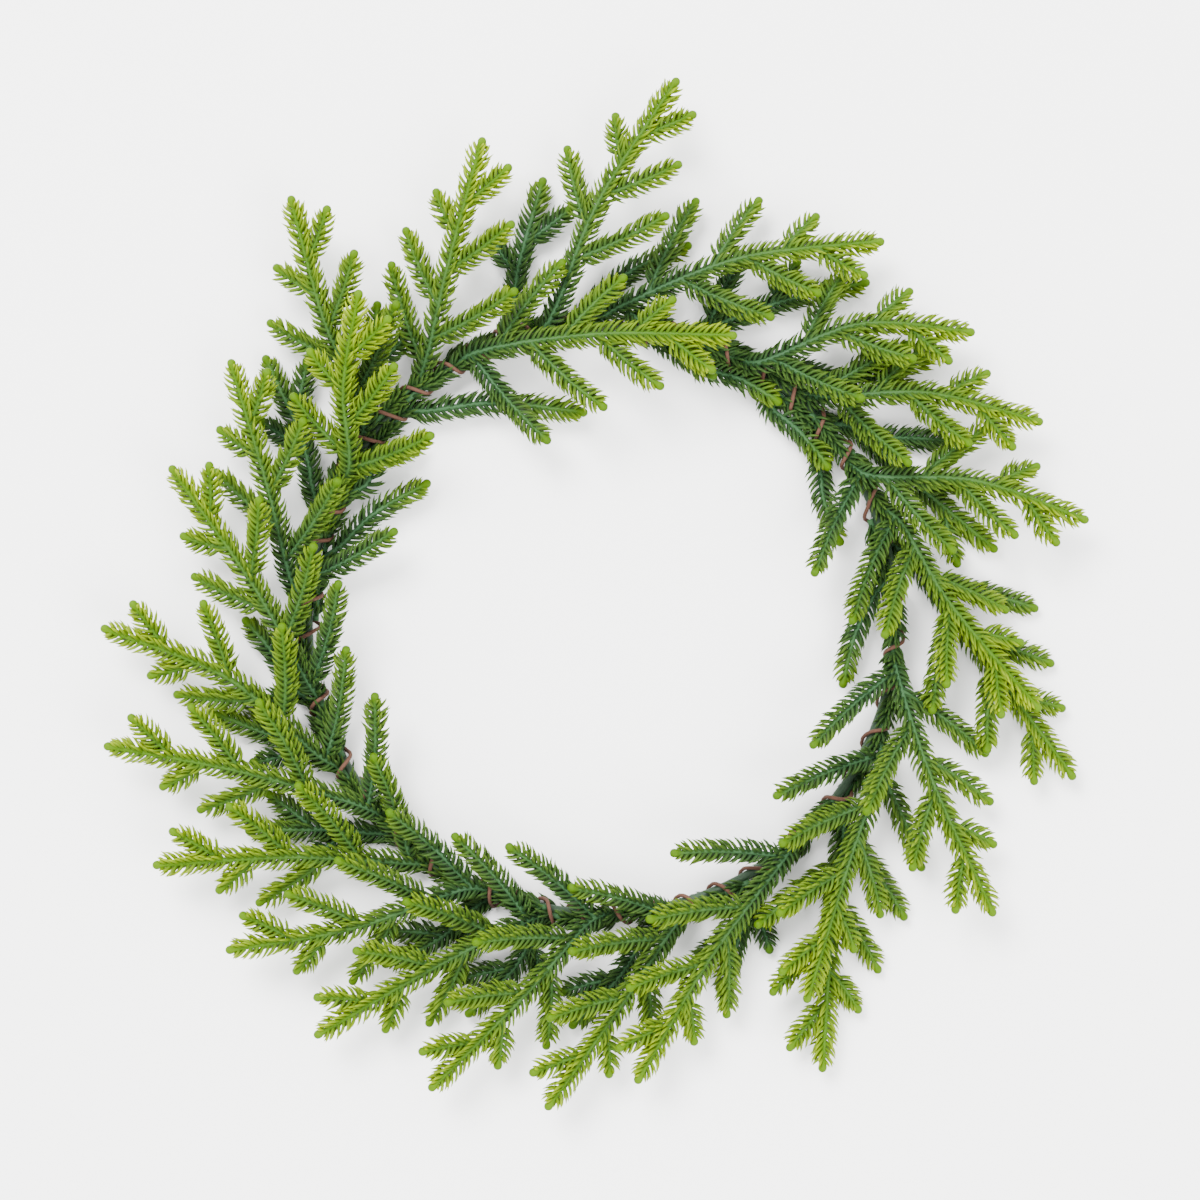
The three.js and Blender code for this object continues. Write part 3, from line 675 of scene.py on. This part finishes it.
def add_needles(builder, shoot, feet, length, wire, on_root, draw):
    """Needles that leave the shoot steeply and curve towards its tip. Each is an arc: its heading
    turns evenly from its start angle to its end angle."""
    distances, angles, sizes = feet
    places, along, right, up = frames_along(shoot, distances)
    if on_root:
        right = unit_rows(from_hoop(places))
        up = np.cross(right, along)
    out = right * np.cos(angles)[:, None] + up * np.sin(angles)[:, None]
    across = np.cross(along, out)
    count = len(distances)
    from_tip = shoot["end"] - distances
    full = np.minimum(from_tip / TIP_TAPER, 1)
    share = TIP_LENGTH + (1 - TIP_LENGTH) * full
    lengths = length * sizes * share * draw.uniform(*STRAY_LENGTH, count)
    lengths = np.minimum(lengths, (from_tip - TIP_ROOM) / TIP_REACH)
    start = NEEDLE_START - TIP_CLOSING * (1 - full) + draw.normal(0, STRAY_START, count)
    start = np.radians(start)[:, None]
    end = np.radians(NEEDLE_END + draw.normal(0, STRAY_END, count))[:, None]
    turns = start + (end - start) * NEEDLE_SHARES
    forward = ((np.sin(turns) - np.sin(start)) / (end - start))[..., None] * along[:, None]
    outward = ((np.cos(start) - np.cos(turns)) / (end - start))[..., None] * out[:, None]
    rooted = places + out * (core_radius(shoot, distances) * NEEDLE_SEAT)[:, None]
    points = rooted[:, None] + lengths[:, None, None] * (forward + outward)
    points[..., 2] = np.maximum(points[..., 2], FLOOR_ROOM)
    heading = np.cos(turns)[..., None] * along[:, None] + np.sin(turns)[..., None] * out[:, None]
    normal = np.cross(across[:, None], heading)
    kept = clear_of_wire(points, wire)
    radii = NEEDLE_RADIUS * NEEDLE_THICKNESS[None, :-1, None, None]
    side_angles = (np.arange(NEEDLE_SIDES) + 0.5) * FULL_TURN / NEEDLE_SIDES
    wide = np.cos(side_angles)[:, None] * across[:, None, None]
    flat = NEEDLE_FLATNESS * np.sin(side_angles)[:, None] * normal[:, :-1, None]
    rings = points[:, :-1, None] + radii * (wide + flat)
    vertices = np.concatenate([rings.reshape(count, -1, 3), points[:, -1:]], axis=1)[kept]
    each = vertices.shape[1]
    values = np.zeros((count, each, 4))
    values[..., 0] = tone_at(shoot, distances)[:, None]
    values[..., 1] = np.append(np.repeat(NEEDLE_SHARES[:-1], NEEDLE_SIDES), 1.0)
    values[..., 2] = draw.random(count)[:, None]
    last_ring = len(NEEDLE_SHARES) - 2
    top = last_ring * NEEDLE_SIDES
    template = tube_faces(last_ring + 1, NEEDLE_SIDES)
    template += [(top + k, top + (k + 1) % NEEDLE_SIDES, each - 1) for k in range(NEEDLE_SIDES)]
    faces = [tuple(k + n * each for k in face) for n in range(len(vertices)) for face in template]
    builder.add(vertices.reshape(-1, 3), faces, values[kept].reshape(-1, 4))


def add_foliage(builder, shoot, wire, draw):
    """The needles of a stem, also of its bound root, or of a side shoot."""
    if not shoot["parent"]:
        feet = needle_feet(shoot, ROOT_ROWS, PATH_STEP, ROOT_LENGTH, draw)
        add_needles(builder, shoot, feet, ROOT_NEEDLE_LENGTH, wire, True, draw)
    start = SIDE_ROOM if shoot["parent"] else ROOT_LENGTH
    feet = needle_feet(shoot, NEEDLE_ROWS, start, shoot["end"] - LAST_NEEDLE, draw)
    add_needles(builder, shoot, feet, NEEDLE_LENGTH, wire, False, draw)


def make_spray(stem, material, wire, draw):
    """One spray as one piece, over its own node."""
    builder = MeshBuilder()
    warmth = draw.uniform(*SPRAY_WARMTH)
    for shoot in [stem, *stem["sides"]]:
        shoot["tone"] += warmth
    for shoot in [stem, *stem["sides"]]:
        add_core(builder, shoot)
        add_foliage(builder, shoot, wire, draw)
    piece = builder.make("foliage_" + stem["spray"], material)
    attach(piece, "root")
    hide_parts(stem["spray"])


# ---- The binding and the hoop ----


def way_out(stem):
    """Where a stem comes out through the binding: how far clockwise round, and on which side."""
    for point in stem["points"]:
        aside = math.hypot(point[0] - CENTRE[0], point[1] - CENTRE[1]) - RING_RADIUS
        if math.hypot(aside, point[2] - HOOP_HEIGHT) > BINDING_REACH - BINDING_DEPTH / 2:
            break
    angle = math.atan2(point[1] - CENTRE[1], point[0] - CENTRE[0])
    turned = (FULL_TURN / 4 - angle) % FULL_TURN
    return turned, math.atan2(point[2] - HOOP_HEIGHT, aside)


def binding_turns(stems):
    """Pins of the wire's way: how far round the ring, and on which side of the hoop."""
    groups = []
    for way in sorted(way_out(stem) for stem in stems):
        if groups and (way[0] - groups[-1][0][0]) * RING_RADIUS < SAME_WAY_OUT:
            groups[-1].append(way)
        else:
            groups.append([way])
    pins = []
    for group in groups:
        turned, around = np.mean(group, axis=0)
        across = around + math.pi
        if not pins:
            pins.append((turned, across))
            continue
        part = (across - pins[-1][1]) % FULL_TURN
        run = (turned - pins[-1][0]) * RING_RADIUS
        turns = max(0, math.floor(run / BINDING_PITCH - part / FULL_TURN + 0.5))
        pins.append((turned, pins[-1][1] + part + turns * FULL_TURN))
    end = pins[0][0] + FULL_TURN - BINDING_ENDS_GAP / RING_RADIUS
    pins.append((end, pins[-1][1] + (end - pins[-1][0]) * RING_RADIUS * FULL_TURN / BINDING_PITCH))
    return np.array(pins)


def tube_mesh(name, path, radius, sides, material, closed=False):
    """A round tube along a path: its ends are capped, or joined where it is closed."""
    count = len(path)
    ahead = np.roll(path, -1, axis=0)
    behind = np.roll(path, 1, axis=0)
    if not closed:
        ahead[-1] = path[-1]
        behind[0] = path[0]
    along = unit_rows(ahead - behind)
    outward = (path - CENTRE) * (1, 1, 0) if closed else from_hoop(path)
    first = unit_rows(np.cross(along, outward))
    second = np.cross(along, first)
    angles = np.arange(sides) * FULL_TURN / sides
    aside = np.cos(angles)[None, :, None] * first[:, None]
    above = np.sin(angles)[None, :, None] * second[:, None]
    vertices = path[:, None] + radius * (aside + above)
    faces = tube_faces(count, sides)
    if closed:
        last = (count - 1) * sides
        faces += [(last + k, last + (k + 1) % sides, (k + 1) % sides, k) for k in range(sides)]
    else:
        faces += [tuple(range(sides))[::-1], tuple((count - 1) * sides + k for k in range(sides))]
    return link_mesh(name, vertices.reshape(-1, 3), faces, material)


def snug_reach(stems, ring_angles, phases):
    """How far from the hoop's middle the wire passes: close over the hoop and the bound stems."""
    points = np.concatenate([stem["points"] for stem in stems])
    aside = np.hypot(points[:, 0] - CENTRE[0], points[:, 1] - CENTRE[1]) - RING_RADIUS
    height = points[:, 2] - HOOP_HEIGHT
    bound = np.hypot(aside, height) < BUNDLE_REACH
    points, aside, height = points[bound], aside[bound], height[bound]
    angles = np.arctan2(points[:, 1] - CENTRE[1], points[:, 0] - CENTRE[0])
    off = (ring_angles[:, None] - angles[None, :] + math.pi) % FULL_TURN - math.pi
    over = aside * np.cos(phases)[:, None] + height * np.sin(phases)[:, None] + STEM_RADIUS
    over[np.abs(off) * RING_RADIUS > BINDING_WINDOW] = 0
    hug = np.maximum(over.max(axis=1), HOOP_WIRE / 2) + BINDING_LOOSE + BINDING_WIRE / 2
    on_floor = -np.sin(phases) > BINDING_FLAT
    hug = np.where(on_floor, np.maximum(hug, HOOP_HEIGHT - BINDING_WIRE / 2), hug)
    padded = np.pad(hug, BINDING_SMOOTHING // 2, mode="edge")
    smooth = np.convolve(padded, np.full(BINDING_SMOOTHING, 1 / BINDING_SMOOTHING), "valid")
    return np.minimum(smooth, BINDING_REACH - BINDING_WIRE / 2)


def binding_path(stems):
    """The wire's middle line, close round the hoop and the stems, and on the floor below them."""
    pins = binding_turns(stems)
    phases = np.arange(pins[0, 1], pins[-1, 1], BINDING_STEP)
    ring_angles = FULL_TURN / 4 - np.interp(phases, pins[:, 1], pins[:, 0])
    reach = snug_reach(stems, ring_angles, phases)
    path = np.array([beside_hoop(*spot) for spot in zip(ring_angles, reach, phases)])
    path[:, 2] = np.maximum(path[:, 2], BINDING_WIRE / 2 + BOX_SKIN)
    return path


def tree_of(path):
    """The path's points, arranged for finding the nearest one."""
    tree = KDTree(len(path))
    for n, point in enumerate(path):
        tree.insert(point, n)
    tree.balance()
    return tree


def make_binding(path, material):
    """The paper-covered wire, wound round the hoop and the stems."""
    piece = tube_mesh("binding_paper_wire", path, BINDING_WIRE / 2, BINDING_SIDES, material)
    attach(piece, "root")
    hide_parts("binding_wire")


def make_hoop(material):
    """The round wire hoop, just inside the one in the solid model."""
    angles = np.linspace(0, FULL_TURN, HOOP_POINTS, endpoint=False)
    path = np.array([beside_hoop(angle, 0, 0) for angle in angles])
    radius = HOOP_WIRE / 2 * HOOP_FIT
    piece = tube_mesh("hoop_lacquered_wire", path, radius, HOOP_SIDES, material, closed=True)
    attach(piece, "root")
    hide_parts("wire_hoop")


# ---- Materials ----


def new_material(name):
    """A node material, with its nodes, its links and its shader."""
    material = bpy.data.materials.new(name)
    material.use_nodes = True
    nodes = material.node_tree.nodes
    return material, nodes, material.node_tree.links, nodes["Principled BSDF"]


def ramp(nodes, stops):
    """A colour ramp with these places and colours."""
    node = nodes.new("ShaderNodeValToRGB")
    elements = node.color_ramp.elements
    while len(elements) < len(stops):
        elements.new(0.5)
    for element, (position, colour) in zip(elements, stops):
        element.position = position
        element.color = (*colour, 1)
    return node


def mix_colour(nodes, links, factor, first, second):
    """The first colour where the factor is 0, the second where it is 1."""
    node = nodes.new("ShaderNodeMix")
    node.data_type = "RGBA"
    links.new(factor, node.inputs[0])
    links.new(first, node.inputs[6])
    links.new(second, node.inputs[7])
    return node.outputs[2]


def multiply(nodes, links, first, second):
    """One colour times another."""
    node = nodes.new("ShaderNodeMix")
    node.data_type = "RGBA"
    node.blend_type = "MULTIPLY"
    node.inputs[0].default_value = 1
    links.new(first, node.inputs[6])
    links.new(second, node.inputs[7])
    return node.outputs[2]


def add_bump(nodes, links, shader, height, strength, distance):
    """Fine relief from a height."""
    bump = nodes.new("ShaderNodeBump")
    bump.inputs["Strength"].default_value = strength
    bump.inputs["Distance"].default_value = distance
    links.new(height, bump.inputs["Height"])
    links.new(bump.outputs[0], shader.inputs["Normal"])


def foliage_material():
    """Dark blue-green old growth to bright yellow-green tips, yellower towards the needle ends. The
    needle feet are darker, partly as painted shade between the needles, and the tone holds painted
    shade on the low-lying sprays and painted light on the highest.
    """
    material, nodes, links, shader = new_material("fresh_needles")
    # The growth attribute's first value is the tone, which holds painted shade on the low-lying
    # sprays and painted light on the highest.
    growth = nodes.new("ShaderNodeVertexColor")
    growth.layer_name = "growth"
    parts = nodes.new("ShaderNodeSeparateColor")
    links.new(growth.outputs["Color"], parts.inputs[0])
    tone, needle, chance = parts.outputs
    # Needle feet: dark green, kept darker than the tips partly as painted shade between the needles.
    foot_colour_and_shade = ramp(nodes, [
        (0.0, (0.014, 0.038, 0.013)),
        (0.35, (0.029, 0.070, 0.009)),
        (0.68, (0.038, 0.090, 0.002)),
        (1.0, (0.047, 0.108, 0.001)),
    ])
    links.new(tone, foot_colour_and_shade.inputs[0])
    tips = ramp(nodes, [
        (0.0, (0.034, 0.070, 0.013)),
        (0.4, (0.104, 0.166, 0.004)),
        (1.0, (0.250, 0.322, 0.001)),
    ])
    links.new(tone, tips.inputs[0])
    towards_end = nodes.new("ShaderNodeMath")
    towards_end.operation = "POWER"
    towards_end.inputs[1].default_value = 1.3
    links.new(needle, towards_end.inputs[0])
    needles = mix_colour(nodes, links, towards_end.outputs[0], foot_colour_and_shade.outputs[0], tips.outputs[0])
    rib = ramp(nodes, [
        (0.0, (0.030, 0.076, 0.034)),
        (0.5, (0.042, 0.098, 0.013)),
        (1.0, (0.052, 0.115, 0.001)),
    ])
    links.new(tone, rib.inputs[0])
    bud = ramp(nodes, [
        (0.0, (0.034, 0.082, 0.006)),
        (0.5, (0.048, 0.104, 0.001)),
        (1.0, (0.066, 0.132, 0.001)),
    ])
    links.new(tone, bud.inputs[0])
    core = mix_colour(nodes, links, needle, rib.outputs[0], bud.outputs[0])
    surface = mix_colour(nodes, links, growth.outputs["Alpha"], needles, core)
    noise = nodes.new("ShaderNodeTexNoise")
    noise.inputs["Scale"].default_value = 420
    noise.inputs["Detail"].default_value = 3
    mottle = ramp(nodes, [(0.3, (0.78, 0.80, 0.78)), (0.7, (1.12, 1.10, 1.05))])
    links.new(noise.outputs["Fac"], mottle.inputs[0])
    mottled = multiply(nodes, links, surface, mottle.outputs[0])
    vary = ramp(nodes, [(0.0, (0.80, 0.84, 0.82)), (1.0, (1.15, 1.12, 1.0))])
    links.new(chance, vary.inputs[0])
    varied = multiply(nodes, links, mottled, vary.outputs[0])
    links.new(varied, shader.inputs["Base Color"])
    shader.inputs["Roughness"].default_value = 0.48
    shader.inputs["Specular IOR Level"].default_value = 0.05
    shader.inputs["Subsurface Weight"].default_value = 0.08
    shader.inputs["Subsurface Radius"].default_value = (0.4, 1.0, 0.2)
    shader.inputs["Subsurface Scale"].default_value = 0.8 * MM
    add_bump(nodes, links, shader, noise.outputs["Fac"], 0.25, 0.2 * MM)
    return material


def paper_wire_material():
    """Brown crepe paper: fine fibres, slightly worn and paler on the high spots."""
    material, nodes, links, shader = new_material("brown_paper_wire")
    fibres = nodes.new("ShaderNodeTexNoise")
    fibres.inputs["Scale"].default_value = 900
    fibres.inputs["Detail"].default_value = 6
    fibres.inputs["Roughness"].default_value = 0.7
    colour = ramp(nodes, [
        (0.25, (0.035, 0.014, 0.007)),
        (0.55, (0.085, 0.031, 0.015)),
        (0.8, (0.150, 0.062, 0.032)),
    ])
    links.new(fibres.outputs["Fac"], colour.inputs[0])
    links.new(colour.outputs[0], shader.inputs["Base Color"])
    shader.inputs["Roughness"].default_value = 0.85
    add_bump(nodes, links, shader, fibres.outputs["Fac"], 0.6, 0.3 * MM)
    return material


def lacquered_wire_material():
    """Dark green lacquer, a little uneven."""
    material, nodes, links, shader = new_material("green_lacquered_wire")
    grain = nodes.new("ShaderNodeTexNoise")
    grain.inputs["Scale"].default_value = 260
    colour = ramp(nodes, [(0.35, (0.012, 0.030, 0.014)), (0.7, (0.030, 0.062, 0.030))])
    links.new(grain.outputs["Fac"], colour.inputs[0])
    links.new(colour.outputs[0], shader.inputs["Base Color"])
    shader.inputs["Roughness"].default_value = 0.55
    shader.inputs["Specular IOR Level"].default_value = 0.25
    return material


def floor_material():
    """A plain, nearly white, matt floor."""
    material, _, _, shader = new_material("pale_floor")
    shader.inputs["Base Color"].default_value = (0.96, 0.96, 0.955, 1)
    shader.inputs["Roughness"].default_value = 0.75
    shader.inputs["Specular IOR Level"].default_value = 0.2
    return material


# ---- Stage ----

# The photograph's size in pixels, the size of a pixel at the wreath, and where the ring's centre is.
PHOTO_PIXELS = 1200
PHOTO_SCALE = 0.6 * MM
RING_CENTRE_PIXEL = (602, 620)
CAMERA_HEIGHT = 2.2
SENSOR_WIDTH = 36
FOCUS_HEIGHT = 30 * MM
FLOOR_SIZE = 30.0
SKY_STRENGTH = 2.9


def make_camera():
    """Straight above, as in the photograph, with the ring's centre at its place in the frame."""
    data = bpy.data.cameras.new("camera")
    camera = bpy.data.objects.new("camera", data)
    bpy.context.scene.collection.objects.link(camera)
    width = PHOTO_PIXELS * PHOTO_SCALE
    half = PHOTO_PIXELS / 2
    middle_x = CENTRE[0] + (half - RING_CENTRE_PIXEL[0]) * PHOTO_SCALE
    middle_y = CENTRE[1] + (RING_CENTRE_PIXEL[1] - half) * PHOTO_SCALE
    camera.location = (middle_x, middle_y, CAMERA_HEIGHT)
    data.sensor_width = SENSOR_WIDTH
    data.lens = SENSOR_WIDTH * (CAMERA_HEIGHT - FOCUS_HEIGHT) / width
    data.clip_start = 0.05
    data.clip_end = 100
    bpy.context.scene.camera = camera


def area_light(name, location, size, power):
    """A square light that faces the wreath."""
    data = bpy.data.lights.new(name, "AREA")
    data.shape = "SQUARE"
    data.size = size
    data.energy = power
    light = bpy.data.objects.new(name, data)
    light.location = location
    light.rotation_euler = (-Vector(location)).to_track_quat("-Z", "Y").to_euler()
    bpy.context.scene.collection.objects.link(light)


def make_stage():
    """The floor, an even pale sky and two soft lights."""
    mesh = bpy.data.meshes.new("floor")
    half = FLOOR_SIZE / 2
    corners = [(-half, -half, 0), (half, -half, 0), (half, half, 0), (-half, half, 0)]
    mesh.from_pydata(corners, [], [(0, 1, 2, 3)])
    mesh.materials.append(floor_material())
    floor = bpy.data.objects.new("floor", mesh)
    bpy.context.scene.collection.objects.link(floor)
    world = bpy.data.worlds.new("soft_studio")
    world.use_nodes = True
    background = world.node_tree.nodes["Background"]
    background.inputs[0].default_value = (1.0, 1.0, 1.0, 1)
    background.inputs[1].default_value = SKY_STRENGTH
    bpy.context.scene.world = world
    area_light("window", (-1.8, 2.8, 4.8), size=2.6, power=900)
    area_light("fill", (3.0, -2.2, 4.0), size=3.6, power=400)


make_camera()
make_stage()
stems = grow_stems()
wire_path = binding_path(stems)
wire_tree = tree_of(wire_path)
needles = foliage_material()
random_draw = np.random.default_rng(SEED)
for stem in stems:
    make_spray(stem, needles, wire_tree, random_draw)
make_binding(wire_path, paper_wire_material())
make_hoop(lacquered_wire_material())

bpy.context.view_layer.update()
